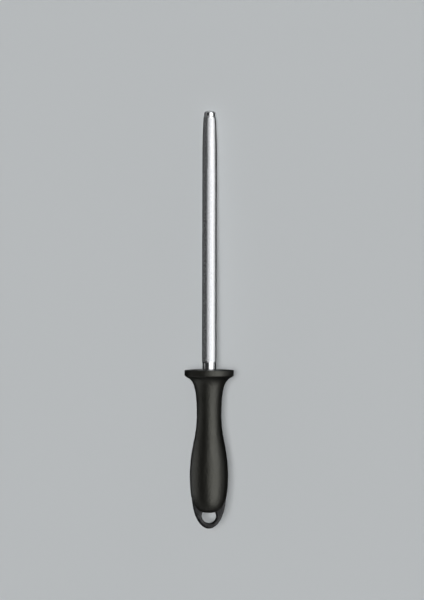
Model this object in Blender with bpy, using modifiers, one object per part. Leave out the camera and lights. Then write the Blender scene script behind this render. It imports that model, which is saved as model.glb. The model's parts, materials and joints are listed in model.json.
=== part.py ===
"""A kitchen sharpening steel: a ribbed, chromed rod in a black two-shot plastic handle with a hanging eye.

Every piece is modelled upright, with its own +Z along the tool's axis towards the tip, its own +X across
the tool and its origin at the middle of the guard's face. One empty then lays the whole tool down as it
rests on a table, on the guard's rim and on the end of the rod's ribs. The row's origin is at table height,
halfway between the tip and the hanging eye's end.
"""

import math

import bmesh
import bpy
from mathutils import Vector

MM = 0.001
GAP = 0.3 * MM  # left between two pieces that touch

# Rod, one piece of steel with its tang
ROD_LENGTH = 200 * MM  # guard's face to tip
ROD_RADIUS = 5.57 * MM  # over the ribs
RIBS = 60
RIB_DEPTH = 0.12 * MM
RIB_RUN_OUT = 1.5 * MM
SHANK_RADIUS = 5.4 * MM
SHANK_LENGTH = 4.5 * MM  # bare steel above the guard
SHANK_BURIED = 9 * MM  # bare steel below the guard's face, down to the tang's shoulder
TAPER_START = 154 * MM
RIBS_END = 195 * MM
TAPER_DROP = 0.8 * MM  # radius lost between the two, as the cube of the way along
TIP_RADIUS = 4.35 * MM
TIP_CORNER = 1.9 * MM
TIP_CROWN = 0.5 * MM  # how far the end face bulges
TIP_FLAT_RADIUS = 1.1 * MM  # the middle of the end face

# Tang: a round stem with locking notches, pressed flat at its end
TANG_RADIUS = 4 * MM
TANG_END = -72 * MM
NOTCHES = 3
NOTCH_TOP = -16 * MM
NOTCH_PITCH = 9 * MM
NOTCH_LENGTH = 3 * MM
NOTCH_DEPTH = 0.7 * MM
SPADE_TOP = -50 * MM
SPADE_SHOULDER = 6 * MM  # length of the change from round to flat
SPADE_HALF_WIDTH = 5.2 * MM
SPADE_HALF_THICKNESS = 2.4 * MM
TANG_CHAMFER = 1.2 * MM
TANG_SIDES = 32

# Grip: the outer moulding, turned from the guard's face down to the domed end
GUARD_RADIUS = 19 * MM
GUARD_CROWN = 0.9 * MM  # the face's middle stands this far above its rim
RIM_HEIGHT = 4.5 * MM
RIM_TOP_ROUND = 0.5 * MM
RIM_BOTTOM_ROUND = 0.4 * MM
FLARE_ANGLE = math.radians(48)  # under the rim, measured from the axis
FLARE_PULL = 4.25 * MM
NECK_RADIUS = 9.55 * MM
NECK_TOP = -34.2 * MM
NECK_BOTTOM = -36 * MM
NECK_FLARE_PULL = 28.2 * MM
NECK_BELLY_PULL = 18.5 * MM
BELLY_RADIUS = 14.8 * MM
BELLY_HEIGHT = -82.5 * MM
BELLY_NECK_PULL = 21.7 * MM
BELLY_DOME_PULL = 26.6 * MM
DOME_END = -111.3 * MM
DOME_PULL = 8.4 * MM
GRIP_SIDES = 30  # two more than a multiple of four, so a facet faces down, wide enough to rest on

# Core: a sleeve moulded on the tang, in one piece with the flat hanging tab
SLEEVE_RADIUS = 6.3 * MM
SLEEVE_END = -96 * MM
COLLARS = 3
COLLAR_TOP = -14 * MM
COLLAR_PITCH = 9 * MM
COLLAR_LENGTH = 3 * MM
COLLAR_RADIUS = 7.4 * MM
COLLAR_SLOPE = 0.6 * MM
SWELL_TOP = -44 * MM
SWELL_BOTTOM = -60 * MM
SWELL_RADIUS = 8.4 * MM
SLEEVE_CHAMFER = 2 * MM
SLEEVE_SIDES = 34

# Tab: the flat plate at the core's end
TAB_HALF_THICKNESS = 3.5 * MM
TAB_EDGE_ROUND = 1.4 * MM
TAB_ROOT_TOP = -86 * MM
TAB_ROOT_HALF_WIDTH = 10.5 * MM
TAB_SHOULDER = -100 * MM  # here the plate comes out flush with the grip's flank
TAB_SHOULDER_HALF_WIDTH = 13.25 * MM
TAB_END = -123.4 * MM
TAB_SIDE_SLOPE = 0.08
TAB_SIDE_PULL = 19 * MM
TAB_END_PULL = 4 * MM
EYE_HEIGHT = -113.6 * MM
EYE_RADIUS = 5.5 * MM
EYE_TOP_CENTRE = -97.5 * MM  # the eye's upper edge is an arc that follows the grip's domed end
EYE_TOP_RADIUS = 13.2 * MM

BORE_OVERRUN = 1 * MM  # a cutter passes this far beyond the face it opens


def clear_scene():
    for thing in list(bpy.data.objects):
        bpy.data.objects.remove(thing)


def new_collection(name):
    collection = bpy.data.collections.new(name)
    bpy.context.scene.collection.children.link(collection)
    return collection


def bezier(start, start_pull, end_pull, end, steps):
    """Points along a cubic curve after its start, up to and including its end."""
    points = []
    for step in range(1, steps + 1):
        t = step / steps
        s = 1 - t
        point = s**3 * start + 3 * s * s * t * start_pull + 3 * s * t * t * end_pull + t**3 * end
        points.append(point)
    return points


def arc(centre, radius, first, last, steps):
    """Points on a circle from one angle to another, both ends included."""
    points = []
    for step in range(steps + 1):
        angle = math.radians(first + (last - first) * step / steps)
        points.append(centre + radius * Vector((math.cos(angle), math.sin(angle))))
    return points


def turned(name, profile, sides, collection):
    """A solid turned about +Z, from points (radius, height) that run down its outer side."""
    mesh = bpy.data.meshes.new(name)
    edges = [(i, i + 1) for i in range(len(profile) - 1)]
    mesh.from_pydata([(radius, 0, height) for radius, height in profile], edges, [])
    piece = bpy.data.objects.new(name, mesh)
    collection.objects.link(piece)
    screw = piece.modifiers.new("turn", "SCREW")
    screw.axis = "Z"
    screw.steps = sides
    screw.render_steps = sides
    screw.use_merge_vertices = True
    screw.merge_threshold = 0.00001
    return piece


def lofted(name, sections, sides, collection):
    """A closed body through rings of points.

    A section is (height, half width, half thickness, groove depth); every second point of its ring is sunk
    by the groove depth.
    """
    bm = bmesh.new()
    rings = []
    for height, half_width, half_thickness, groove in sections:
        ring = []
        for i in range(sides):
            angle = math.tau * i / sides
            sunk = groove * (i % 2)
            x = (half_width - sunk) * math.cos(angle)
            y = (half_thickness - sunk) * math.sin(angle)
            ring.append(bm.verts.new((x, y, height)))
        rings.append(ring)
    for upper, lower in zip(rings, rings[1:]):
        for i in range(sides):
            bm.faces.new((upper[i - 1], upper[i], lower[i], lower[i - 1]))
    bm.faces.new(rings[0])
    bm.faces.new(rings[-1])
    bmesh.ops.recalc_face_normals(bm, faces=bm.faces)
    mesh = bpy.data.meshes.new(name)
    bm.to_mesh(mesh)
    bm.free()
    piece = bpy.data.objects.new(name, mesh)
    collection.objects.link(piece)
    return piece


def flat_plate(name, outlines, half_thickness, edge_round, collection):
    """A plate in the tool's XZ plane, from closed outlines of points (across, height), as a welded mesh."""
    curve = bpy.data.curves.new(name, "CURVE")
    curve.dimensions = "2D"
    curve.fill_mode = "BOTH"
    curve.extrude = half_thickness - edge_round
    curve.bevel_depth = edge_round
    curve.bevel_resolution = 2
    curve.offset = -edge_round
    for outline in outlines:
        spline = curve.splines.new("POLY")
        spline.points.add(len(outline) - 1)
        for point, (across, height) in zip(spline.points, outline):
            point.co = (across, height, 0, 1)
        spline.use_cyclic_u = True
    drawn = bpy.data.objects.new(name + "_outline", curve)
    collection.objects.link(drawn)
    drawn.rotation_euler.x = math.pi / 2
    bpy.context.view_layer.update()

    graph = bpy.context.evaluated_depsgraph_get()
    mesh = bpy.data.meshes.new_from_object(drawn.evaluated_get(graph))
    mesh.transform(drawn.matrix_world)
    bpy.data.objects.remove(drawn)
    bm = bmesh.new()
    bm.from_mesh(mesh)
    bmesh.ops.remove_doubles(bm, verts=bm.verts, dist=0.001 * MM)
    bmesh.ops.recalc_face_normals(bm, faces=bm.faces)
    bm.to_mesh(mesh)
    bm.free()
    piece = bpy.data.objects.new(name, mesh)
    collection.objects.link(piece)
    return piece


def circumscribed(profile, sides):
    """The profile with its radii grown until the middles of the facets touch the true round surface."""
    growth = 1 / math.cos(math.pi / sides)
    return [Vector((radius * growth, height)) for radius, height in profile]


def combine(piece, other, operation):
    """Adds a Boolean modifier, and marks the other object as a helper."""
    boolean = piece.modifiers.new(other.name, "BOOLEAN")
    boolean.object = other
    boolean.operation = operation
    boolean.solver = "EXACT"
    other.hide_render = True
    other.display_type = "WIRE"


def tapered_radius(height):
    """The rod's radius over its ribs at this height."""
    way = (height - TAPER_START) / (RIBS_END - TAPER_START)
    return ROD_RADIUS - TAPER_DROP * max(way, 0) ** 3


def blade_sections():
    """The rod from its tip down to the tang's shoulder."""
    sections = [(ROD_LENGTH, TIP_FLAT_RADIUS, TIP_FLAT_RADIUS, 0)]
    corner = Vector((TIP_RADIUS - TIP_CORNER, ROD_LENGTH - TIP_CROWN - TIP_CORNER))
    for radius, height in arc(corner, TIP_CORNER, 90, 0, 4):
        sections.append((height, radius, radius, 0))
    sections.append((RIBS_END + 0.5 * MM, TIP_RADIUS, TIP_RADIUS, 0))
    sections.append((RIBS_END, tapered_radius(RIBS_END), tapered_radius(RIBS_END), 0))
    taper_steps = 4
    full_depth = RIBS_END - RIB_RUN_OUT
    for step in range(taper_steps + 1):
        height = full_depth + (TAPER_START - full_depth) * step / taper_steps
        sections.append((height, tapered_radius(height), tapered_radius(height), RIB_DEPTH))
    sections.append((SHANK_LENGTH + RIB_RUN_OUT, ROD_RADIUS, ROD_RADIUS, RIB_DEPTH))
    for height in (SHANK_LENGTH, -SHANK_BURIED):
        sections.append((height, SHANK_RADIUS, SHANK_RADIUS, 0))
    return sections


def tang_sections(top, margin):
    """The tang from a given height down to its end, grown all round by a margin."""
    stem = TANG_RADIUS + margin
    notch = stem - NOTCH_DEPTH
    sections = [(top, stem, stem, 0)]
    for i in range(NOTCHES):
        height = NOTCH_TOP - NOTCH_PITCH * i
        sections.append((height, stem, stem, 0))
        sections.append((height - NOTCH_DEPTH, notch, notch, 0))
        sections.append((height - NOTCH_LENGTH + NOTCH_DEPTH, notch, notch, 0))
        sections.append((height - NOTCH_LENGTH, stem, stem, 0))
    wide = SPADE_HALF_WIDTH + margin
    thin = SPADE_HALF_THICKNESS + margin
    sections.append((SPADE_TOP, stem, stem, 0))
    sections.append((SPADE_TOP - SPADE_SHOULDER, wide, thin, 0))
    sections.append((TANG_END - margin + TANG_CHAMFER, wide, thin, 0))
    sections.append((TANG_END - margin, wide - TANG_CHAMFER, thin - TANG_CHAMFER, 0))
    return sections


def make_rod(parts, helpers):
    rod = lofted("steel_rod", blade_sections(), 2 * RIBS, parts)
    overlap = 2 * MM
    tang = lofted("tang_blank", tang_sections(overlap - SHANK_BURIED, 0), TANG_SIDES, helpers)
    combine(rod, tang, "UNION")
    return rod


def sleeve_profile(margin):
    """The core's sleeve, with its locking collars, grown all round by a margin."""
    radius = SLEEVE_RADIUS + margin
    collar = COLLAR_RADIUS + margin
    swell = SWELL_RADIUS + margin
    top = -SHANK_BURIED - GAP + margin
    profile = [(0, top), (radius, top)]
    for i in range(COLLARS):
        height = COLLAR_TOP - COLLAR_PITCH * i
        profile.append((radius, height))
        profile.append((collar, height - COLLAR_SLOPE))
        profile.append((collar, height - COLLAR_LENGTH + COLLAR_SLOPE))
        profile.append((radius, height - COLLAR_LENGTH))
    profile.append((radius, SWELL_TOP))
    profile.append((swell, SWELL_BOTTOM))
    profile.append((swell, SLEEVE_END + SLEEVE_CHAMFER - margin))
    profile.append((swell - SLEEVE_CHAMFER, SLEEVE_END - margin))
    profile.append((0, SLEEVE_END - margin))
    return profile


def tab_outline():
    """The plate's outline, from its root inside the grip, round the hanging end and back."""
    shoulder = Vector((TAB_SHOULDER_HALF_WIDTH, TAB_SHOULDER))
    end = Vector((0, TAB_END))
    side_pull = shoulder + TAB_SIDE_PULL * Vector((-TAB_SIDE_SLOPE, -1))
    end_pull = end + Vector((TAB_END_PULL, 0))
    side = [Vector((TAB_ROOT_HALF_WIDTH, TAB_ROOT_TOP)), Vector((TAB_ROOT_HALF_WIDTH, TAB_SHOULDER)), shoulder]
    side += bezier(shoulder, side_pull, end_pull, end, 24)
    return side + [Vector((-x, z)) for x, z in reversed(side[:-1])]


def eye_outline():
    """The eye: a round hole whose top is cut off by an arc concentric with the grip's domed end."""
    between = EYE_TOP_CENTRE - EYE_HEIGHT
    rise = (between**2 + EYE_RADIUS**2 - EYE_TOP_RADIUS**2) / (2 * between)
    corner = math.degrees(math.asin(rise / EYE_RADIUS))
    outline = arc(Vector((0, EYE_HEIGHT)), EYE_RADIUS, corner, -180 - corner, 22)
    drop = math.degrees(math.asin((between - rise) / EYE_TOP_RADIUS))
    top = arc(Vector((0, EYE_TOP_CENTRE)), EYE_TOP_RADIUS, -180 + drop, -drop, 6)
    return outline + top[1:-1]


def make_core(parts, helpers):
    core = turned("handle_core", sleeve_profile(0), SLEEVE_SIDES, parts)
    outlines = [tab_outline(), eye_outline()]
    tab = flat_plate("tab_blank", outlines, TAB_HALF_THICKNESS, TAB_EDGE_ROUND, helpers)
    combine(core, tab, "UNION")
    bore = lofted("tang_bore", tang_sections(BORE_OVERRUN - SHANK_BURIED, GAP), TANG_SIDES, helpers)
    combine(core, bore, "DIFFERENCE")
    return core


def face_height(radius):
    """The guard's crowned face at this distance from the axis."""
    return -GUARD_CROWN * (radius / GUARD_RADIUS) ** 2


def rim_shoulder():
    """Where the rim reaches its full radius, under the rounding of its upper edge."""
    return face_height(GUARD_RADIUS - RIM_TOP_ROUND) - RIM_TOP_ROUND


def grip_profile():
    """The grip's outside: guard face, rim, flare, neck, belly and domed end."""
    rim_bottom = -GUARD_CROWN - RIM_HEIGHT
    profile = [Vector((0, 0))]
    face_steps = 3
    for step in range(1, face_steps + 1):
        radius = (GUARD_RADIUS - RIM_TOP_ROUND) * step / face_steps
        profile.append(Vector((radius, face_height(radius))))
    top_corner = Vector((GUARD_RADIUS - RIM_TOP_ROUND, rim_shoulder()))
    profile += arc(top_corner, RIM_TOP_ROUND, 45, 0, 1)
    bottom_corner = Vector((GUARD_RADIUS - RIM_BOTTOM_ROUND, rim_bottom + RIM_BOTTOM_ROUND))
    profile += arc(bottom_corner, RIM_BOTTOM_ROUND, 0, -45, 1)

    flare = profile[-1]
    neck_top = Vector((NECK_RADIUS, NECK_TOP))
    neck_bottom = Vector((NECK_RADIUS, NECK_BOTTOM))
    belly = Vector((BELLY_RADIUS, BELLY_HEIGHT))
    end = Vector((0, DOME_END))
    down = Vector((0, -1))
    flare_pull = flare - FLARE_PULL * Vector((math.sin(FLARE_ANGLE), math.cos(FLARE_ANGLE)))
    profile += bezier(flare, flare_pull, neck_top - NECK_FLARE_PULL * down, neck_top, 12)
    profile.append(neck_bottom)
    neck_pull = neck_bottom + NECK_BELLY_PULL * down
    profile += bezier(neck_bottom, neck_pull, belly - BELLY_NECK_PULL * down, belly, 12)
    dome_pull = end + Vector((DOME_PULL, 0))
    profile += bezier(belly, belly + BELLY_DOME_PULL * down, dome_pull, end, 20)
    return profile


def make_grip(parts, helpers):
    grip = turned("handle_grip", circumscribed(grip_profile(), GRIP_SIDES), GRIP_SIDES, parts)
    combine(grip, turned("sleeve_cavity", sleeve_profile(GAP), SLEEVE_SIDES, helpers), "DIFFERENCE")

    root = TAB_ROOT_HALF_WIDTH + GAP
    beyond = GUARD_RADIUS
    half = [
        (root, TAB_ROOT_TOP + GAP),
        (root, TAB_SHOULDER + GAP),
        (beyond, TAB_SHOULDER + GAP),
        (beyond, TAB_END - BORE_OVERRUN),
    ]
    slot_outline = half + [(-x, z) for x, z in reversed(half)]
    slot = flat_plate("tab_slot", [slot_outline], TAB_HALF_THICKNESS + GAP, 0, helpers)
    combine(grip, slot, "DIFFERENCE")

    hole = SHANK_RADIUS + GAP
    hole_profile = [(0, BORE_OVERRUN), (hole, BORE_OVERRUN), (hole, -SHANK_BURIED - BORE_OVERRUN)]
    hole_profile.append((0, -SHANK_BURIED - BORE_OVERRUN))
    combine(grip, turned("shank_hole", hole_profile, GRIP_SIDES, helpers), "DIFFERENCE")
    return grip


def material(name, colour, metallic, roughness):
    made = bpy.data.materials.new(name)
    made.use_nodes = True
    shader = made.node_tree.nodes["Principled BSDF"]
    shader.inputs["Base Color"].default_value = (*colour, 1)
    shader.inputs["Metallic"].default_value = metallic
    shader.inputs["Roughness"].default_value = roughness
    return made


def finish(piece, look):
    """Gives a piece its material and smooth shading that keeps its real edges."""
    piece.data.materials.clear()
    piece.data.materials.append(look)
    if piece.data.polygons:
        piece.data.shade_smooth()
        piece.data.set_sharp_from_angle(angle=math.radians(35))


def resting_tilt():
    """How far the tip drops below level when the rim and the rod both touch the table."""
    slopes = []
    for height, radius, _, _ in blade_sections():
        if height > SHANK_LENGTH:
            slopes.append((GUARD_RADIUS - radius) / (height - rim_shoulder()))
    return math.atan(min(slopes))


def lay_down(pieces, parts):
    """Parents the pieces to an empty at the guard's face, and lays the tool on the table."""
    tilt = resting_tilt()
    height = GUARD_RADIUS * math.cos(tilt) + rim_shoulder() * math.sin(tilt)
    middle = (ROD_LENGTH + TAB_END) / 2
    axis = bpy.data.objects.new("tool_axis", None)
    parts.objects.link(axis)
    axis.rotation_euler.x = -math.pi / 2 - tilt
    axis.location = (0, -middle * math.cos(tilt), height)
    for piece in pieces:
        piece.parent = axis


def main():
    clear_scene()
    parts = new_collection("sharpening_steel")
    helpers = new_collection("cutters")
    rod = make_rod(parts, helpers)
    core = make_core(parts, helpers)
    grip = make_grip(parts, helpers)
    finish(rod, material("chromed_steel", (0.62, 0.63, 0.65), 1.0, 0.22))
    finish(core, material("core_black_plastic", (0.022, 0.022, 0.024), 0.0, 0.5))
    finish(grip, material("grip_black_plastic", (0.018, 0.018, 0.016), 0.0, 0.45))
    lay_down([rod, core, grip, *helpers.objects], parts)


main()
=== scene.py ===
"""Looks of the sharpening steel: a ribbed, chromed rod in a black moulded handle with a hanging eye.

Each piece is modelled in the tool's own frame, +Z along the tool towards the tip, +X across it and +Y down,
with its origin at the middle of the guard's face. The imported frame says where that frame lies.
"""

import json
import math

import bmesh
import bpy
from mathutils import Matrix, Vector


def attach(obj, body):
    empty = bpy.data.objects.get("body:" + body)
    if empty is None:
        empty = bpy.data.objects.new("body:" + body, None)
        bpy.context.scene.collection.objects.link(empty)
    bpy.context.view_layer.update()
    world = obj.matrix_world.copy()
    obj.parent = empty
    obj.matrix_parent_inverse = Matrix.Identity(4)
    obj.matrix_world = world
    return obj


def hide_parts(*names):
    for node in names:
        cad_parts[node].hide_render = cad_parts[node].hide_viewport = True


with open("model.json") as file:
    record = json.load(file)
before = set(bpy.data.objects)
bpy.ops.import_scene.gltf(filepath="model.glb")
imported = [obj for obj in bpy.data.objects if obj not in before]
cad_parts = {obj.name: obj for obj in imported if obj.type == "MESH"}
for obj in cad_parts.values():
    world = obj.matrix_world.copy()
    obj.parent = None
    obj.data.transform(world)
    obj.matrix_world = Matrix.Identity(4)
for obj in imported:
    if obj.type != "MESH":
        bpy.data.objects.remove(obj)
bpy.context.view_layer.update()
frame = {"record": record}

MM = 0.001
WELD_DISTANCE = 0.001 * MM

# Rod, as in the CAD model
ROD_LENGTH = 200 * MM
ROD_RADIUS = 5.57 * MM
RIBS = 60
RIB_RUN_OUT = 1.5 * MM
SHANK_RADIUS = 5.4 * MM
SHANK_LENGTH = 4.5 * MM
SHANK_BURIED = 9 * MM
TAPER_START = 154 * MM
RIBS_END = 195 * MM
TAPER_DROP = 0.8 * MM
TIP_RADIUS = 4.35 * MM
TIP_CORNER = 1.9 * MM
TIP_CROWN = 0.5 * MM

# Rod, fine surface
GROOVE_DEPTH = 0.056 * MM
GROOVE_SHARE = 0.5  # of a rib's pitch that its groove takes
LAND_CROWN = 0.008 * MM
GROUND_STEP = 0.55 * MM  # the slope from the ribs' end to the bare tip
TIP_FACE_RINGS = (0.04, 0.3, 0.6, 0.85)  # shares of the end face's radius

# Tang, as in the CAD model
TANG_RADIUS = 4 * MM
TANG_END = -72 * MM
NOTCHES = 3
NOTCH_TOP = -16 * MM
NOTCH_PITCH = 9 * MM
NOTCH_LENGTH = 3 * MM
NOTCH_DEPTH = 0.7 * MM
SPADE_TOP = -50 * MM
SPADE_SHOULDER = 6 * MM
SPADE_HALF_WIDTH = 5.2 * MM
SPADE_HALF_THICKNESS = 2.4 * MM
TANG_CHAMFER = 1.2 * MM

# Grip, as in the CAD model
GUARD_RADIUS = 19 * MM
GUARD_CROWN = 0.9 * MM
RIM_HEIGHT = 4.5 * MM
RIM_TOP_ROUND = 0.5 * MM
RIM_BOTTOM_ROUND = 0.4 * MM
FLARE_ANGLE = math.radians(48)
FLARE_PULL = 4.25 * MM
NECK_RADIUS = 9.55 * MM
NECK_TOP = -34.2 * MM
NECK_BOTTOM = -36 * MM
NECK_FLARE_PULL = 28.2 * MM
NECK_BELLY_PULL = 18.5 * MM
BELLY_RADIUS = 14.8 * MM
BELLY_HEIGHT = -82.5 * MM
BELLY_NECK_PULL = 21.7 * MM
BELLY_DOME_PULL = 26.6 * MM
DOME_END = -111.3 * MM
DOME_PULL = 8.4 * MM

# Grip, fine surface
BORE_SLACK = 0.05 * MM
BORE_LIP = 0.35 * MM
SEAM = 0.05 * MM  # between the core's tab and the grip
SEAM_ROUND = 0.18 * MM
FLANK_COLUMNS = 16
LOBE_COLUMNS = 80
HALF_TURN_COLUMNS = FLANK_COLUMNS + LOBE_COLUMNS
LOBE_LEAST = 1.0005  # times half the slot: a lobe ends before its radius is less
ROOT_SLACK = 0.02 * MM  # on each flat face of the tab's root
ROOT_OVERCUT = 2 * MM  # how far the root's cutter goes on past the tab's shoulder

# Core, as in the CAD model
SLEEVE_RADIUS = 6.3 * MM
SLEEVE_END = -96 * MM
COLLARS = 3
COLLAR_TOP = -14 * MM
COLLAR_PITCH = 9 * MM
COLLAR_LENGTH = 3 * MM
COLLAR_RADIUS = 7.4 * MM
COLLAR_SLOPE = 0.6 * MM
SWELL_TOP = -44 * MM
SWELL_BOTTOM = -60 * MM
SWELL_RADIUS = 8.4 * MM
SLEEVE_CHAMFER = 2 * MM
TAB_HALF_THICKNESS = 3.5 * MM
TAB_EDGE_ROUND = 1.4 * MM
TAB_ROOT_TOP = -86 * MM
TAB_ROOT_HALF_WIDTH = 10.5 * MM
TAB_SHOULDER = -100 * MM
TAB_SHOULDER_HALF_WIDTH = 13.25 * MM
TAB_END = -123.4 * MM
TAB_SIDE_SLOPE = 0.08
TAB_SIDE_PULL = 19 * MM
TAB_END_PULL = 4 * MM
EYE_HEIGHT = -113.6 * MM
EYE_RADIUS = 5.5 * MM
EYE_TOP_CENTRE = -97.5 * MM
EYE_TOP_RADIUS = 13.2 * MM

# Core, fine surface
SLEEVE_SETBACK = 0.1 * MM  # from the end of the shank to the top of the sleeve
SLEEVE_SIDES = 72
TANG_BORE_SIDES = 64
TANG_BORE_OVERCUT = 1 * MM  # how far the bore's cutter starts above the shank's end

# Chromed steel. Noise scales are in waves per metre: across, across and along the tool.
GRINDING_SCALES = (9000, 9000, 60)
TURNING_SCALES = (300, 300, 14000)
SMUDGE_SCALES = (160, 160, 30)
RIBBED_COLOURS = ((0.62, 0.63, 0.65, 1), (0.65, 0.66, 0.68, 1))
RIBBED_ROUGHNESS = (0.20, 0.27)
BARE_COLOURS = ((0.72, 0.73, 0.75, 1), (0.78, 0.79, 0.81, 1))
BARE_ROUGHNESS = (0.19, 0.25)
STEEL_RELIEF = 0.004 * MM
STEEL_RELIEF_STRENGTH = 0.4
TURNING_SHARE = 0.5  # of the relief that the turning marks have, beside the grinding

# Black plastic
GRAIN_SCALE = 2600.0
GRAIN_HEIGHT = 0.014 * MM
GRAIN_ROUGHNESS = (-0.03, 0.03)
MOTTLE_SCALE = 500.0
MOTTLE_HEIGHT = 0.28 * MM
CLOUD_SCALE = 90.0
SCUFF_SCALES = (500, 500, 90)
SCUFF_ROUGHNESS = (0.46, 0.38)

# Camera: square on to the tool's axis, the tip up in the picture
CAMERA_DISTANCE = 2.0
CAMERA_SENSOR = 36  # millimetres, the long side
VIEW_LENGTH = 464.4 * MM  # of the tool's plane, seen over the picture's long side
VIEW_CENTRE_ALONG = 53.4 * MM
VIEW_CENTRE_ACROSS = 2.1 * MM
CAMERA_ROLL = math.radians(0.12)  # the tip leans this far to the right in the picture

# Softbox: what the steel and the plastic mirror. It lights nothing else, so it casts no second shadow.
SOFTBOX_RADIANCE = 2.3
SOFTBOX_DISTANCE = 1.2
SOFTBOX_ACROSS = (-9, 84)  # the edges, in degrees from straight up towards +X
SOFTBOX_ALONG = (-60, 64)  # the edges, in degrees from straight up towards +Y
SOFTBOX_GLOW_ACROSS = (-1, -0.32, 0.15, 1)  # out, full, full, out: shares of the half width
SOFTBOX_GLOW_ALONG = (-1, -0.35, 0.29, 1)

# Two lights for the floor, which nothing mirrors: a soft sun from the upper left, and a fill with no shadow
SUN_STRENGTH = 1.25
SUN_DIAMETER = math.radians(17)
SUN_ACROSS = math.radians(-6.5)
SUN_ALONG = math.radians(5)
FILL_STRENGTH = 0.75

# Cards round the tool, seen only as reflections. Each is a rectangle, given in millimetres: from and to
# across, along and up. The black ones are flags: dark sheets that paint shade into what the steel and the
# plastic mirror. Most of them lie on the floor beside and under the tool.
LYING = (0.4, 0.4)  # just clear of the floor
FLAGS = {
    "flag_right_of_handle": ((45, 45), (-300, -39), (0, 27)),
    "flag_right_of_rod": ((45, 45), (-39, 300), (0, 11)),
    "flag_beside_rod": ((-300, -8), (-33, 300), LYING),
    "flag_beside_guard": ((-300, -21), (-75, -33), LYING),
    "flag_beyond_tab": ((-300, 300), (-600, -163), LYING),
    "flag_under_left": ((-45, -9), (-163, -43), LYING),
    "flag_under_right": ((9, 45), (-163, 300), LYING),
}
PALE_CARD = ((-85, -85), (-175, -40), (0, 65))
PALE_CARD_RADIANCE = 0.7
PALE_CARD_GLOW = (-1, -0.7, 0.1, 1)  # out, full, full, out along it: shares of its half length

# Sky: dim, with a pale wall low on the left. The camera sees a plain backdrop instead.
SKY_BASE = 0.03
WALL_STRENGTH = 0.36
WALL_FADE = (0.20, 0.42)  # of the direction's height
WALL_SIDE = (-0.35, 0.1)  # of the direction's part towards the right, plus a share of its part to the tip
WALL_TIP_SHARE = 0.9
FAR_WALL_STRENGTH = 0.6  # beyond the tip
FAR_WALL_SIDE = (0.4, 0.6)  # of the direction's part towards the tip
BACKDROP = (0.475, 0.495, 0.505)

FLOOR_HALF = 30.0
FLOOR_COLOUR = (0.665, 0.693, 0.707)
FLOOR_LIGHTEST = 1.02  # times that colour


def tool_frame():
    """The tool's frame in the row frame, found from the flat faces of the hanging tab."""
    mounts = {mount["name"]: mount for mount in frame["record"]["mounts"]}
    face = mounts["hanging_tab_top"]
    point = Vector(face["pos_m"])
    up = Vector(face["axis"]).normalized()
    across = Vector((1, 0, 0))
    along = up.cross(across)
    origin = point - point.x * across - TAB_HALF_THICKNESS * up - EYE_HEIGHT * along
    turn = Matrix((across, -up, along)).transposed().to_4x4()
    return Matrix.Translation(origin) @ turn


TOOL = tool_frame()


# ---------------------------------------------------------------- shape helpers


def bezier(start, start_pull, end_pull, end, steps):
    """Points along a cubic curve after its start, up to and including its end."""
    points = []
    for step in range(1, steps + 1):
        t = step / steps
        s = 1 - t
        point = s**3 * start + 3 * s * s * t * start_pull + 3 * s * t * t * end_pull + t**3 * end
        points.append(point)
    return points


def arc(centre, radius, first, last, steps):
    """Points on a circle from one angle to another, both ends included."""
    points = []
    for step in range(steps + 1):
        angle = math.radians(first + (last - first) * step / steps)
        points.append(centre + radius * Vector((math.cos(angle), math.sin(angle))))
    return points


def object_of(bm, name):
    """An object with this mesh, its normals facing out, in the scene."""
    bmesh.ops.recalc_face_normals(bm, faces=bm.faces)
    mesh = bpy.data.meshes.new(name)
    bm.to_mesh(mesh)
    bm.free()
    piece = bpy.data.objects.new(name, mesh)
    bpy.context.scene.collection.objects.link(piece)
    return piece


def ring_mesh(rings):
    """A closed body through rings of equal length, capped at both ends."""
    bm = bmesh.new()
    made = []
    for ring in rings:
        made.append([bm.verts.new(point) for point in ring])
    for upper, lower in zip(made, made[1:]):
        for i in range(len(upper)):
            bm.faces.new((upper[i - 1], upper[i], lower[i], lower[i - 1]))
    bm.faces.new(made[0])
    bm.faces.new(made[-1])
    return bm


def oval_ring(half_width, half_thickness, height, sides):
    ring = []
    for i in range(sides):
        angle = math.tau * i / sides
        ring.append((half_width * math.cos(angle), half_thickness * math.sin(angle), height))
    return ring


def turned(name, profile, sides):
    """A solid turned about +Z from points (radius, height), which start and end off the axis."""
    rings = [oval_ring(radius, radius, height, sides) for radius, height in profile]
    return object_of(ring_mesh(rings), name)


def flat_plate(name, outlines, half_thickness, edge_round, edge_steps):
    """A plate in the tool's XZ plane, from closed outlines of points (across, height), as a welded mesh."""
    curve = bpy.data.curves.new(name, "CURVE")
    curve.dimensions = "2D"
    curve.fill_mode = "BOTH"
    curve.extrude = half_thickness - edge_round
    curve.bevel_depth = edge_round
    curve.bevel_resolution = edge_steps
    curve.offset = -edge_round
    for outline in outlines:
        spline = curve.splines.new("POLY")
        spline.points.add(len(outline) - 1)
        for point, (across, height) in zip(spline.points, outline):
            point.co = (across, height, 0, 1)
        spline.use_cyclic_u = True
    drawn = bpy.data.objects.new(name, curve)
    bpy.context.scene.collection.objects.link(drawn)
    drawn.rotation_euler.x = math.pi / 2
    bpy.context.view_layer.update()
    graph = bpy.context.evaluated_depsgraph_get()
    mesh = bpy.data.meshes.new_from_object(drawn.evaluated_get(graph))
    mesh.transform(drawn.matrix_world)
    bpy.data.objects.remove(drawn)
    bm = bmesh.new()
    bm.from_mesh(mesh)
    bpy.data.meshes.remove(mesh)
    bmesh.ops.remove_doubles(bm, verts=bm.verts, dist=WELD_DISTANCE)
    return object_of(bm, name)


def carve(piece, other, operation):
    """Applies a Boolean with another object, and removes that object."""
    boolean = piece.modifiers.new("carve", "BOOLEAN")
    boolean.object = other
    boolean.operation = operation
    boolean.solver = "EXACT"
    bpy.context.view_layer.update()
    graph = bpy.context.evaluated_depsgraph_get()
    mesh = bpy.data.meshes.new_from_object(piece.evaluated_get(graph))
    piece.modifiers.clear()
    piece.data = mesh
    bpy.data.objects.remove(other)


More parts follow.
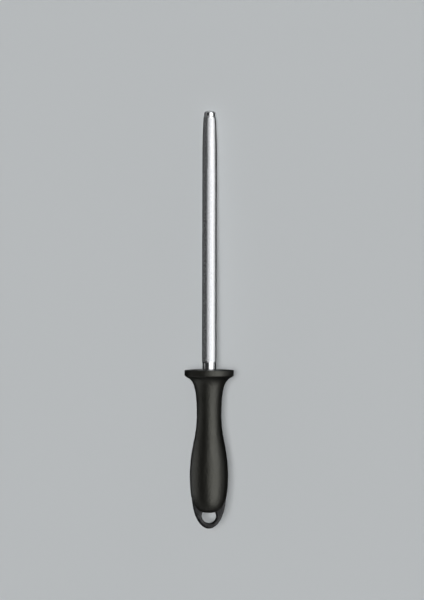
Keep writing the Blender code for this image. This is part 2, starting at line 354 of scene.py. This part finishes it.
def settle(piece, look, node, sharp_degrees):
    """Shades a finished piece, puts it in place and ties it to the frame."""
    piece.data.materials.clear()
    piece.data.materials.append(look)
    piece.data.shade_smooth()
    piece.data.set_sharp_from_angle(angle=math.radians(sharp_degrees))
    weighted = piece.modifiers.new("face_weighted_normals", "WEIGHTED_NORMAL")
    weighted.keep_sharp = True
    piece.data.transform(TOOL)
    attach(piece, "root")
    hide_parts(node)


# ---------------------------------------------------------------- rod


def tapered_radius(height):
    """The rod's radius over its ribs at this height."""
    way = (height - TAPER_START) / (RIBS_END - TAPER_START)
    return ROD_RADIUS - TAPER_DROP * max(way, 0) ** 3


def rib_places():
    """Round one rib, from one groove's bottom: share of the pitch, and how far sunk in groove and crown."""
    edge = GROOVE_SHARE / 2
    shoulder = (edge + 0.5) / 2
    rising = [(0, 1, 1), (edge, 0, 1), (shoulder, 0, 0.25)]
    falling = [(1 - shoulder, 0, 0.25), (1 - edge, 0, 1)]
    return rising + [(0.5, 0, 0)] + falling


def rod_ring(height, half_width, half_thickness, groove):
    """One ring of the rod; groove is the depth of the grooves there."""
    crown = LAND_CROWN * groove / GROOVE_DEPTH
    ring = []
    for rib in range(RIBS):
        for share, in_groove, in_crown in rib_places():
            angle = math.tau * (rib + share) / RIBS
            sunk = groove * in_groove + crown * in_crown
            x = (half_width - sunk) * math.cos(angle)
            y = (half_thickness - sunk) * math.sin(angle)
            ring.append((x, y, height))
    return ring


def tip_rings():
    """The bare tip: crowned end face, rounded corner and short cylinder."""
    rings = []
    flat = TIP_RADIUS - TIP_CORNER
    for share in TIP_FACE_RINGS:
        radius = flat * share
        rings.append(rod_ring(ROD_LENGTH - TIP_CROWN * share**2, radius, radius, 0))
    corner = Vector((flat, ROD_LENGTH - TIP_CROWN - TIP_CORNER))
    for radius, height in arc(corner, TIP_CORNER, 84, 0, steps=9):
        rings.append(rod_ring(height, radius, radius, 0))
    return rings


def ribbed_rings():
    """From the ground step at the tip, down the taper and the straight length, to the shank."""
    rings = [rod_ring(RIBS_END + GROUND_STEP, TIP_RADIUS, TIP_RADIUS, 0)]
    run_out_steps = 6
    for step in range(run_out_steps + 1):
        share = step / run_out_steps
        height = RIBS_END - RIB_RUN_OUT * share
        radius = tapered_radius(height)
        rings.append(rod_ring(height, radius, radius, GROOVE_DEPTH * math.sqrt(share)))
    taper_steps = 36
    top = RIBS_END - RIB_RUN_OUT
    for step in range(1, taper_steps + 1):
        height = top + (TAPER_START - top) * step / taper_steps
        radius = tapered_radius(height)
        rings.append(rod_ring(height, radius, radius, GROOVE_DEPTH))
    for step in range(run_out_steps + 1):
        share = 1 - step / run_out_steps
        height = SHANK_LENGTH + RIB_RUN_OUT * share
        radius = SHANK_RADIUS + (ROD_RADIUS - SHANK_RADIUS) * math.sqrt(share)
        rings.append(rod_ring(height, radius, radius, GROOVE_DEPTH * math.sqrt(share)))
    return rings


def tang_sections(top, margin):
    """The tang down to its end, grown all round by a margin: height, half width, half thickness."""
    stem = TANG_RADIUS + margin
    notch = stem - NOTCH_DEPTH
    sections = [(top, stem, stem)]
    for i in range(NOTCHES):
        height = NOTCH_TOP - NOTCH_PITCH * i
        sections.append((height, stem, stem))
        sections.append((height - NOTCH_DEPTH, notch, notch))
        sections.append((height - NOTCH_LENGTH + NOTCH_DEPTH, notch, notch))
        sections.append((height - NOTCH_LENGTH, stem, stem))
    wide = SPADE_HALF_WIDTH + margin
    thin = SPADE_HALF_THICKNESS + margin
    sections.append((SPADE_TOP, stem, stem))
    sections.append((SPADE_TOP - SPADE_SHOULDER, wide, thin))
    sections.append((TANG_END - margin + TANG_CHAMFER, wide, thin))
    sections.append((TANG_END - margin, wide - TANG_CHAMFER, thin - TANG_CHAMFER))
    return sections


def make_rod():
    rings = tip_rings() + ribbed_rings()
    rings.append(rod_ring(-SHANK_BURIED, SHANK_RADIUS, SHANK_RADIUS, 0))
    for height, half_width, half_thickness in tang_sections(-SHANK_BURIED, 0):
        rings.append(rod_ring(height, half_width, half_thickness, 0))
    rod = object_of(ring_mesh(rings), "ribbed_rod")
    settle(rod, chromed_steel(), "steel_rod", sharp_degrees=26)


# ---------------------------------------------------------------- grip


def guard_profile():
    """From the buried end of the shank's bore up to the guard's face, and over its rim to the flare."""
    bore = SHANK_RADIUS + BORE_SLACK
    lip = Vector((bore + BORE_LIP, -GUARD_CROWN * (bore / GUARD_RADIUS) ** 2 - BORE_LIP))
    profile = [Vector((bore, -SHANK_BURIED))]
    profile += arc(lip, BORE_LIP, 180, 90, steps=6)
    first = bore + BORE_LIP
    last = GUARD_RADIUS - RIM_TOP_ROUND
    face_steps = 14
    for step in range(1, face_steps + 1):
        radius = first + (last - first) * step / face_steps
        profile.append(Vector((radius, -GUARD_CROWN * (radius / GUARD_RADIUS) ** 2)))
    top_corner = Vector((last, profile[-1].y - RIM_TOP_ROUND))
    profile += arc(top_corner, RIM_TOP_ROUND, 78, 0, steps=6)
    bottom_corner = Vector((GUARD_RADIUS - RIM_BOTTOM_ROUND, -GUARD_CROWN - RIM_HEIGHT + RIM_BOTTOM_ROUND))
    profile += arc(bottom_corner, RIM_BOTTOM_ROUND, 0, -math.degrees(FLARE_ANGLE), steps=5)
    return profile


def body_profile(flare):
    """From under the rim down the neck and the belly to the end of the dome."""
    neck_top = Vector((NECK_RADIUS, NECK_TOP))
    neck_bottom = Vector((NECK_RADIUS, NECK_BOTTOM))
    belly = Vector((BELLY_RADIUS, BELLY_HEIGHT))
    end = Vector((0, DOME_END))
    down = Vector((0, -1))
    flare_pull = flare - FLARE_PULL * Vector((math.sin(FLARE_ANGLE), math.cos(FLARE_ANGLE)))
    profile = bezier(flare, flare_pull, neck_top - NECK_FLARE_PULL * down, neck_top, steps=60)
    neck_pull = neck_bottom + NECK_BELLY_PULL * down
    profile += bezier(neck_bottom, neck_pull, belly - BELLY_NECK_PULL * down, belly, steps=60)
    dome_pull = end + Vector((DOME_PULL, 0))
    profile += bezier(belly, belly + BELLY_DOME_PULL * down, dome_pull, end, steps=120)
    return profile


def split_profile(profile, height):
    """The profile above this height, the radius at it, and the profile below it."""
    above = [point for point in profile if point.y > height]
    below = [point for point in profile if point.y <= height]
    share = (above[-1].y - height) / (above[-1].y - below[0].y)
    return above, above[-1].x + (below[0].x - above[-1].x) * share, below


def on_circle(radius, angle, height):
    return Vector((radius * math.cos(angle), radius * math.sin(angle), height))


def lobe_row(radius, height, half_gap, rounding):
    """One row round the domed end's lobe towards +Y, from its +X edge on the slot's wall to the other."""
    low = math.asin(min(half_gap / radius, 1))
    inset = min(rounding, radius * math.cos(low) / 3)
    start = low + inset / radius
    row = []
    for step in range(LOBE_COLUMNS + 1):
        angle = start + (math.pi - 2 * start) * step / LOBE_COLUMNS
        row.append(on_circle(radius, angle, height))
    for end in (0, -1):
        edge = row[end]
        corner = on_circle(radius, low if end == 0 else math.pi - low, height)
        wall = corner - Vector((math.copysign(inset, corner.x), 0, 0))
        middle = (edge + 2 * corner + wall) / 4
        extra = [wall, middle] if end == 0 else [middle, wall]
        row = extra + row if end == 0 else row + extra
    return row


def grip_angles(low):
    """Angles round the grip: twice a flank beside the tab and a lobe; low is where the first flank ends."""
    angles = []
    for turn in (0, math.pi):
        for first, last, steps in ((-low, low, FLANK_COLUMNS), (low, math.pi - low, LOBE_COLUMNS)):
            angles += [turn + first + (last - first) * step / steps for step in range(steps)]
    return angles


def add_turned_part(bm, profile, angles, shoulder_radius, shoulder):
    """The grip down to the tab's shoulder, where its flanks end rounded. Gives the ring of points there."""
    rings = []
    for radius, height in profile:
        rings.append([bm.verts.new(on_circle(radius, angle, height)) for angle in angles])
    last = []
    for i, angle in enumerate(angles):
        in_flank = 0 < i % HALF_TURN_COLUMNS < FLANK_COLUMNS
        radius = shoulder_radius - (SEAM_ROUND if in_flank else 0)
        last.append(bm.verts.new(on_circle(radius, angle, shoulder)))
    rings.append(last)
    for upper, lower in zip(rings, rings[1:]):
        for i in range(len(angles)):
            bm.faces.new((upper[i - 1], upper[i], lower[i], lower[i - 1]))
    bm.faces.new(rings[0])
    return last


def add_lobe(bm, rim, side, profile, half_gap, shoulder):
    """One lobe of the domed end, from its stretch of the shoulder's ring on; side is 1 towards +Y, or -1."""
    row_above = [rim[0], rim[0]] + rim + [rim[-1], rim[-1]]
    for radius, height in profile:
        rounding = min(SEAM_ROUND, (shoulder - height) / 2)
        row = []
        for point in lobe_row(radius, height, half_gap, rounding):
            row.append(bm.verts.new((side * point.x, side * point.y, height)))
        for i in range(1, len(row)):
            corners = [row_above[i - 1], row_above[i], row[i], row[i - 1]]
            corners = [c for k, c in enumerate(corners) if c not in corners[:k]]
            bm.faces.new(corners)
        bm.faces.new((row_above[0], row[0], row[-1], row_above[-1]))
        row_above = row
    bm.faces.new(row_above)


def stretch_of(ring, first, steps):
    """The points of a ring from one column over a number of steps, past its end to its start if need be."""
    return [ring[(first + step) % len(ring)] for step in range(steps + 1)]


def grip_shell():
    """The grip's whole outside: turned, and past the tab's shoulder split by its slot into two lobes."""
    guard = guard_profile()
    shoulder = TAB_SHOULDER + SEAM
    half_gap = TAB_HALF_THICKNESS + SEAM
    above, shoulder_radius, below = split_profile(guard + body_profile(guard[-1]), shoulder)
    above = [point for point in above if point.y > shoulder + SEAM_ROUND]
    above.append(Vector((shoulder_radius, shoulder + SEAM_ROUND)))
    below = [point for point in below if point.x > half_gap * LOBE_LEAST]
    angles = grip_angles(math.asin(half_gap / shoulder_radius))

    bm = bmesh.new()
    ring = add_turned_part(bm, above, angles, shoulder_radius, shoulder)
    for first, side in ((FLANK_COLUMNS, 1), (FLANK_COLUMNS + HALF_TURN_COLUMNS, -1)):
        add_lobe(bm, stretch_of(ring, first, LOBE_COLUMNS), side, below, half_gap, shoulder)
    right = stretch_of(ring, 0, FLANK_COLUMNS)
    left = stretch_of(ring, HALF_TURN_COLUMNS, FLANK_COLUMNS)
    bm.faces.new(right + left)
    return object_of(bm, "grip_moulding")


def make_grip():
    grip = grip_shell()
    carve(grip, turned("sleeve_cavity", sleeve_profile(BORE_SLACK), SLEEVE_SIDES), "DIFFERENCE")
    half_width = TAB_ROOT_HALF_WIDTH + BORE_SLACK
    right = [(half_width, TAB_ROOT_TOP + BORE_SLACK), (half_width, TAB_SHOULDER - ROOT_OVERCUT)]
    outline = right + [(-x, z) for x, z in reversed(right)]
    root = flat_plate("root_cavity", [outline], TAB_HALF_THICKNESS + ROOT_SLACK, edge_round=0, edge_steps=0)
    carve(grip, root, "DIFFERENCE")
    settle(grip, grip_plastic(), "handle_grip", sharp_degrees=32)


# ---------------------------------------------------------------- core


def sleeve_profile(margin):
    """The core's sleeve, with its locking collars, grown all round by a margin."""
    radius = SLEEVE_RADIUS + margin
    collar = COLLAR_RADIUS + margin
    swell = SWELL_RADIUS + margin
    top = -SHANK_BURIED - SLEEVE_SETBACK + margin
    profile = [(radius, top)]
    for i in range(COLLARS):
        height = COLLAR_TOP - COLLAR_PITCH * i
        profile.append((radius, height))
        profile.append((collar, height - COLLAR_SLOPE))
        profile.append((collar, height - COLLAR_LENGTH + COLLAR_SLOPE))
        profile.append((radius, height - COLLAR_LENGTH))
    profile.append((radius, SWELL_TOP))
    profile.append((swell, SWELL_BOTTOM))
    profile.append((swell, SLEEVE_END + SLEEVE_CHAMFER - margin))
    profile.append((swell - SLEEVE_CHAMFER, SLEEVE_END - margin))
    return profile


def tab_outline():
    """The plate's outline, from its root inside the grip, round the hanging end and back."""
    shoulder = Vector((TAB_SHOULDER_HALF_WIDTH, TAB_SHOULDER))
    end = Vector((0, TAB_END))
    side_pull = shoulder + TAB_SIDE_PULL * Vector((-TAB_SIDE_SLOPE, -1))
    end_pull = end + Vector((TAB_END_PULL, 0))
    root = [Vector((TAB_ROOT_HALF_WIDTH, height)) for height in (TAB_ROOT_TOP, TAB_SHOULDER)]
    side = root + [shoulder] + bezier(shoulder, side_pull, end_pull, end, steps=70)
    return side + [Vector((-x, z)) for x, z in reversed(side[:-1])]


def eye_outline():
    """The eye: a round hole whose top is cut off by an arc that follows the grip's domed end."""
    between = EYE_TOP_CENTRE - EYE_HEIGHT
    rise = (between**2 + EYE_RADIUS**2 - EYE_TOP_RADIUS**2) / (2 * between)
    corner = math.degrees(math.asin(rise / EYE_RADIUS))
    outline = arc(Vector((0, EYE_HEIGHT)), EYE_RADIUS, corner, -180 - corner, steps=88)
    drop = math.degrees(math.asin((between - rise) / EYE_TOP_RADIUS))
    top = arc(Vector((0, EYE_TOP_CENTRE)), EYE_TOP_RADIUS, -180 + drop, -drop, steps=24)
    return outline + top[1:-1]


def make_core():
    core = turned("core_moulding", sleeve_profile(0), SLEEVE_SIDES)
    outlines = [tab_outline(), eye_outline()]
    tab = flat_plate("tab_blank", outlines, TAB_HALF_THICKNESS, TAB_EDGE_ROUND, edge_steps=6)
    carve(core, tab, "UNION")
    rings = []
    for height, half_width, half_thickness in tang_sections(TANG_BORE_OVERCUT - SHANK_BURIED, BORE_SLACK):
        rings.append(oval_ring(half_width, half_thickness, height, TANG_BORE_SIDES))
    carve(core, object_of(ring_mesh(rings), "tang_bore"), "DIFFERENCE")
    settle(core, core_plastic(), "handle_core", sharp_degrees=32)


# ---------------------------------------------------------------- materials


class Nodes:
    """A short way to build one material's or world's node tree."""

    def __init__(self, tree):
        self.tree = tree

    def add(self, kind, settings=None, inputs=None):
        node = self.tree.nodes.new(kind)
        for name, value in (settings or {}).items():
            setattr(node, name, value)
        for name, value in (inputs or {}).items():
            self.feed(node.inputs[name], value)
        return node

    def feed(self, socket, value):
        if isinstance(value, bpy.types.NodeSocket):
            self.tree.links.new(value, socket)
        else:
            socket.default_value = value

    def math(self, operation, first, second=0.0):
        node = self.add("ShaderNodeMath", {"operation": operation}, {0: first, 1: second})
        return node.outputs[0]

    def ramp(self, value, low, high, out_low=0.0, out_high=1.0):
        """A smooth step of value from low to high."""
        inputs = {"Value": value, "From Min": low, "From Max": high, "To Min": out_low, "To Max": out_high}
        node = self.add("ShaderNodeMapRange", {"interpolation_type": "SMOOTHSTEP"}, inputs)
        return node.outputs["Result"]

    def window(self, value, edges):
        """1 between the two middle edges, falling smoothly to 0 at the outer two."""
        rising = self.ramp(value, edges[0], edges[1])
        falling = self.ramp(value, edges[2], edges[3], 1.0, 0.0)
        return self.math("MULTIPLY", rising, falling)

    def noise(self, vector, scale, detail=2.0, roughness=0.5):
        inputs = {"Vector": vector, "Scale": scale, "Detail": detail, "Roughness": roughness}
        return self.add("ShaderNodeTexNoise", None, inputs).outputs["Fac"]

    def stretched(self, vector, scale):
        return self.add("ShaderNodeMapping", None, {"Vector": vector, "Scale": scale}).outputs["Vector"]

    def bump(self, height, distance, strength, normal=None):
        inputs = {"Height": height, "Distance": distance, "Strength": strength}
        if normal is not None:
            inputs["Normal"] = normal
        return self.add("ShaderNodeBump", None, inputs).outputs["Normal"]

    def mix(self, share, first, second, kind="RGBA"):
        node = self.add("ShaderNodeMix", {"data_type": kind}, {"Factor": share, "A": first, "B": second})
        return node.outputs["Result"]


def new_material(name):
    material = bpy.data.materials.new(name)
    material.use_nodes = True
    nodes = Nodes(material.node_tree)
    shader = material.node_tree.nodes["Principled BSDF"]
    place = nodes.add("ShaderNodeTexCoord").outputs["Object"]
    return material, nodes, shader, place


def along_the_tool(nodes, place):
    """The place in the tool's own frame, so that every pattern follows the tool."""
    inputs = {"Vector": place, "Location": TOOL.translation, "Rotation": TOOL.to_euler()}
    return nodes.add("ShaderNodeMapping", {"vector_type": "TEXTURE"}, inputs).outputs["Vector"]


def chromed_steel():
    """Hard chrome: lengthwise grinding on the ribs, turned and polished steel at the tip and the shank."""
    material, nodes, shader, place = new_material("chromed_steel")
    place = along_the_tool(nodes, place)
    height = nodes.add("ShaderNodeSeparateXYZ", None, {0: place}).outputs["Z"]
    ends = (SHANK_LENGTH, SHANK_LENGTH + RIB_RUN_OUT, RIBS_END - RIB_RUN_OUT, RIBS_END)
    ribbed = nodes.window(height, ends)

    grinding = nodes.noise(nodes.stretched(place, GRINDING_SCALES), 1.0, detail=3.0)
    turning = nodes.noise(nodes.stretched(place, TURNING_SCALES), 1.0)
    smudge = nodes.noise(nodes.stretched(place, SMUDGE_SCALES), 1.0, detail=3.0)

    bare_colour = nodes.mix(smudge, *BARE_COLOURS)
    ribbed_colour = nodes.mix(smudge, *RIBBED_COLOURS)
    nodes.feed(shader.inputs["Base Color"], nodes.mix(ribbed, bare_colour, ribbed_colour))
    shader.inputs["Metallic"].default_value = 1.0
    bare_rough = nodes.ramp(smudge, 0.3, 0.7, *BARE_ROUGHNESS)
    ribbed_rough = nodes.ramp(grinding, 0.25, 0.75, *RIBBED_ROUGHNESS)
    nodes.feed(shader.inputs["Roughness"], nodes.mix(ribbed, bare_rough, ribbed_rough, "FLOAT"))

    bare = nodes.math("SUBTRACT", 1.0, ribbed)
    along = nodes.math("MULTIPLY", grinding, ribbed)
    around = nodes.math("MULTIPLY", nodes.math("MULTIPLY", turning, bare), TURNING_SHARE)
    relief = nodes.bump(nodes.math("ADD", along, around), STEEL_RELIEF, STEEL_RELIEF_STRENGTH)
    nodes.feed(shader.inputs["Normal"], relief)
    return material


def black_plastic(name, dark, light, tint, ior, worn_height, polish):
    """Black plastic with an eroded grain over a soft mottle, polished a little where hand or hook rubs."""
    material, nodes, shader, place = new_material(name)
    place = along_the_tool(nodes, place)
    height = nodes.add("ShaderNodeSeparateXYZ", None, {0: place}).outputs["Z"]
    grain = nodes.noise(place, GRAIN_SCALE, detail=3.0, roughness=0.6)
    mottle = nodes.noise(place, MOTTLE_SCALE, detail=3.0, roughness=0.6)
    cloud = nodes.noise(place, CLOUD_SCALE, detail=3.0)
    scuff = nodes.noise(nodes.stretched(place, SCUFF_SCALES), 1.0, detail=4.0, roughness=0.65)

    colour = nodes.mix(nodes.ramp(cloud, 0.3, 0.7), (*dark, 1), (*light, 1))
    nodes.feed(shader.inputs["Base Color"], colour)
    handled = nodes.window(height, worn_height)
    polished = nodes.math("MULTIPLY", handled, nodes.ramp(cloud, 0.35, 0.65, *polish))
    rough = nodes.ramp(scuff, 0.3, 0.72, *SCUFF_ROUGHNESS)
    rough = nodes.math("ADD", rough, nodes.ramp(grain, 0.3, 0.7, *GRAIN_ROUGHNESS))
    nodes.feed(shader.inputs["Roughness"], nodes.math("SUBTRACT", rough, polished))
    shader.inputs["IOR"].default_value = ior
    shader.inputs["Specular Tint"].default_value = tint

    mottled = nodes.bump(mottle, MOTTLE_HEIGHT, strength=1.0)
    nodes.feed(shader.inputs["Normal"], nodes.bump(grain, GRAIN_HEIGHT, strength=1.0, normal=mottled))
    return material


def grip_plastic():
    return black_plastic(
        "grip_black_plastic",
        dark=(0.006, 0.006, 0.005),
        light=(0.0085, 0.0085, 0.0075),
        tint=(1, 1, 0.9, 1),
        ior=1.55,
        worn_height=(-112 * MM, -95 * MM, -60 * MM, -20 * MM),
        polish=(0.03, 0.08),
    )


def core_plastic():
    return black_plastic(
        "core_black_plastic",
        dark=(0.006, 0.006, 0.0065),
        light=(0.008, 0.008, 0.009),
        tint=(1, 1, 1, 1),
        ior=1.41,
        worn_height=(-127 * MM, -125 * MM, -116 * MM, -109 * MM),
        polish=(0.2, 0.26),
    )


def floor_paper():
    """Pale, matt studio card, very slightly cloudy."""
    material, nodes, shader, place = new_material("studio_card")
    cloud = nodes.noise(place, 3.0)
    lightest = [part * FLOOR_LIGHTEST for part in FLOOR_COLOUR]
    nodes.feed(shader.inputs["Base Color"], nodes.mix(cloud, (*FLOOR_COLOUR, 1), (*lightest, 1)))
    shader.inputs["Roughness"].default_value = 0.85
    shader.inputs["Specular IOR Level"].default_value = 0.0
    return material


# ---------------------------------------------------------------- stage


def make_floor():
    bm = bmesh.new()
    bmesh.ops.create_grid(bm, x_segments=8, y_segments=8, size=FLOOR_HALF)
    floor = object_of(bm, "studio_floor")
    floor.data.materials.append(floor_paper())


def reflected_only(thing):
    """Hides a thing from all but mirror-like rays."""
    thing.visible_camera = False
    thing.visible_diffuse = False
    thing.visible_shadow = False


def card(name, place, look):
    """A rectangle, given in millimetres, that is flat across or upwards."""
    (left, right), (near, far), (low, high) = [(start * MM, end * MM) for start, end in place]
    if low == high:
        corners = ((left, near, low), (right, near, low), (right, far, low), (left, far, low))
    else:
        corners = ((left, near, low), (left, far, low), (left, far, high), (left, near, high))
    bm = bmesh.new()
    bm.faces.new([bm.verts.new(corner) for corner in corners])
    made = object_of(bm, name)
    made.data.materials.append(look)
    reflected_only(made)


def glow_material(name, glow_of):
    """A black face that glows as strongly as glow_of(nodes, x, y, z) says."""
    material, nodes, shader, place = new_material(name)
    parts = nodes.add("ShaderNodeSeparateXYZ", None, {0: place}).outputs
    shader.inputs["Base Color"].default_value = (0, 0, 0, 1)
    shader.inputs["Specular IOR Level"].default_value = 0
    shader.inputs["Emission Color"].default_value = (1, 1, 1, 1)
    nodes.feed(shader.inputs["Emission Strength"], glow_of(nodes, *parts))
    return material


def make_cards():
    # Black flags: painted shade in the tool's reflections, never seen by the camera
    black = glow_material("black_card", lambda nodes, x, y, z: 0.0)
    for name, place in FLAGS.items():
        card(name, place, black)
    near, far = PALE_CARD[1]
    middle = (near + far) / 2 * MM
    half_length = (far - near) / 2 * MM

    def glow(nodes, x, y, z):
        share = nodes.math("DIVIDE", nodes.math("SUBTRACT", y, middle), half_length)
        return nodes.math("MULTIPLY", nodes.window(share, PALE_CARD_GLOW), PALE_CARD_RADIANCE)

    card("pale_card", PALE_CARD, glow_material("pale_card", glow))


def make_sky():
    world = bpy.data.worlds.new("studio_light")
    world.use_nodes = True
    bpy.context.scene.world = world
    nodes = Nodes(world.node_tree)
    background = world.node_tree.nodes["Background"]
    direction = nodes.add("ShaderNodeTexCoord").outputs["Generated"]
    parts = nodes.add("ShaderNodeSeparateXYZ", None, {0: direction}).outputs
    low = nodes.ramp(parts["Z"], *WALL_FADE, WALL_STRENGTH, 0.0)
    side = nodes.math("ADD", parts["X"], nodes.math("MULTIPLY", parts["Y"], WALL_TIP_SHARE))
    near = nodes.ramp(side, *WALL_SIDE, 1.0, 0.0)
    near_wall = nodes.math("MULTIPLY", low, near)
    beyond = nodes.ramp(parts["Y"], *FAR_WALL_SIDE, 0.0, FAR_WALL_STRENGTH / WALL_STRENGTH)
    far_wall = nodes.math("MULTIPLY", low, beyond)
    light = nodes.math("ADD", nodes.math("MAXIMUM", near_wall, far_wall), SKY_BASE)
    grey = nodes.add("ShaderNodeCombineXYZ", None, {"X": light, "Y": light, "Z": light}).outputs[0]
    seen = nodes.add("ShaderNodeLightPath").outputs["Is Camera Ray"]
    nodes.feed(background.inputs["Color"], nodes.mix(seen, grey, (*BACKDROP, 1)))


def direction_of(across, along):
    """The unit vector this far from straight up towards +X and towards +Y."""
    return Vector((math.sin(across) * math.cos(along), math.sin(along), math.cos(across) * math.cos(along)))


def facing(across, along, distance):
    """The placement of a thing that shines at the origin from this direction along its own -Z."""
    backwards = direction_of(across, along)
    side = Vector((0, 1, 0)).cross(backwards).normalized()
    turn = Matrix((side, backwards.cross(side), backwards)).transposed().to_4x4()
    return Matrix.Translation(distance * backwards) @ turn


def make_softbox():
    """A glowing panel with a soft edge, seen only as a reflection."""
    left, right = (math.radians(edge) for edge in SOFTBOX_ACROSS)
    bottom, top = (math.radians(edge) for edge in SOFTBOX_ALONG)
    half_width = SOFTBOX_DISTANCE * math.tan((right - left) / 2)
    half_length = SOFTBOX_DISTANCE * math.tan((top - bottom) / 2)
    corners = ((1, 1), (1, -1), (-1, -1), (-1, 1))
    bm = bmesh.new()
    bm.faces.new([bm.verts.new((x * half_width, y * half_length, 0)) for x, y in corners])
    panel = object_of(bm, "softbox")
    panel.matrix_world = facing((left + right) / 2, (bottom + top) / 2, SOFTBOX_DISTANCE)

    def glow(nodes, x, y, z):
        across = nodes.window(nodes.math("DIVIDE", x, half_width), SOFTBOX_GLOW_ACROSS)
        along = nodes.window(nodes.math("DIVIDE", y, half_length), SOFTBOX_GLOW_ALONG)
        return nodes.math("MULTIPLY", nodes.math("MULTIPLY", across, along), SOFTBOX_RADIANCE)

    panel.data.materials.append(glow_material("softbox", glow))
    reflected_only(panel)


def make_sun(name, strength, across, along):
    """A distant light for the floor, which nothing mirrors."""
    data = bpy.data.lights.new(name, "SUN")
    data.energy = strength
    light = bpy.data.objects.new(name, data)
    light.matrix_world = facing(across, along, 1.0)
    light.visible_glossy = False
    bpy.context.scene.collection.objects.link(light)
    return data


def make_lights():
    make_softbox()
    make_sun("sun", SUN_STRENGTH, SUN_ACROSS, SUN_ALONG).angle = SUN_DIAMETER
    make_sun("fill", FILL_STRENGTH, 0, 0).use_shadow = False


def make_camera():
    data = bpy.data.cameras.new("camera")
    data.sensor_width = CAMERA_SENSOR
    data.lens = CAMERA_SENSOR * CAMERA_DISTANCE / VIEW_LENGTH
    data.clip_start = 0.05
    data.clip_end = 100
    camera = bpy.data.objects.new("camera", data)
    bpy.context.scene.collection.objects.link(camera)
    across = TOOL.to_3x3() @ Vector((1, 0, 0))
    along = TOOL.to_3x3() @ Vector((0, 0, 1))
    towards = across.cross(along)
    aim = TOOL @ Vector((VIEW_CENTRE_ACROSS, 0, VIEW_CENTRE_ALONG))
    turn = Matrix((across, along, towards)).transposed().to_4x4() @ Matrix.Rotation(CAMERA_ROLL, 4, "Z")
    camera.matrix_world = Matrix.Translation(aim + CAMERA_DISTANCE * towards) @ turn
    bpy.context.scene.camera = camera


def main():
    make_camera()
    make_sky()
    make_lights()
    make_floor()
    make_cards()
    make_rod()
    make_core()
    make_grip()
    bpy.context.scene.view_settings.view_transform = "Standard"
    bpy.context.view_layer.update()


main()
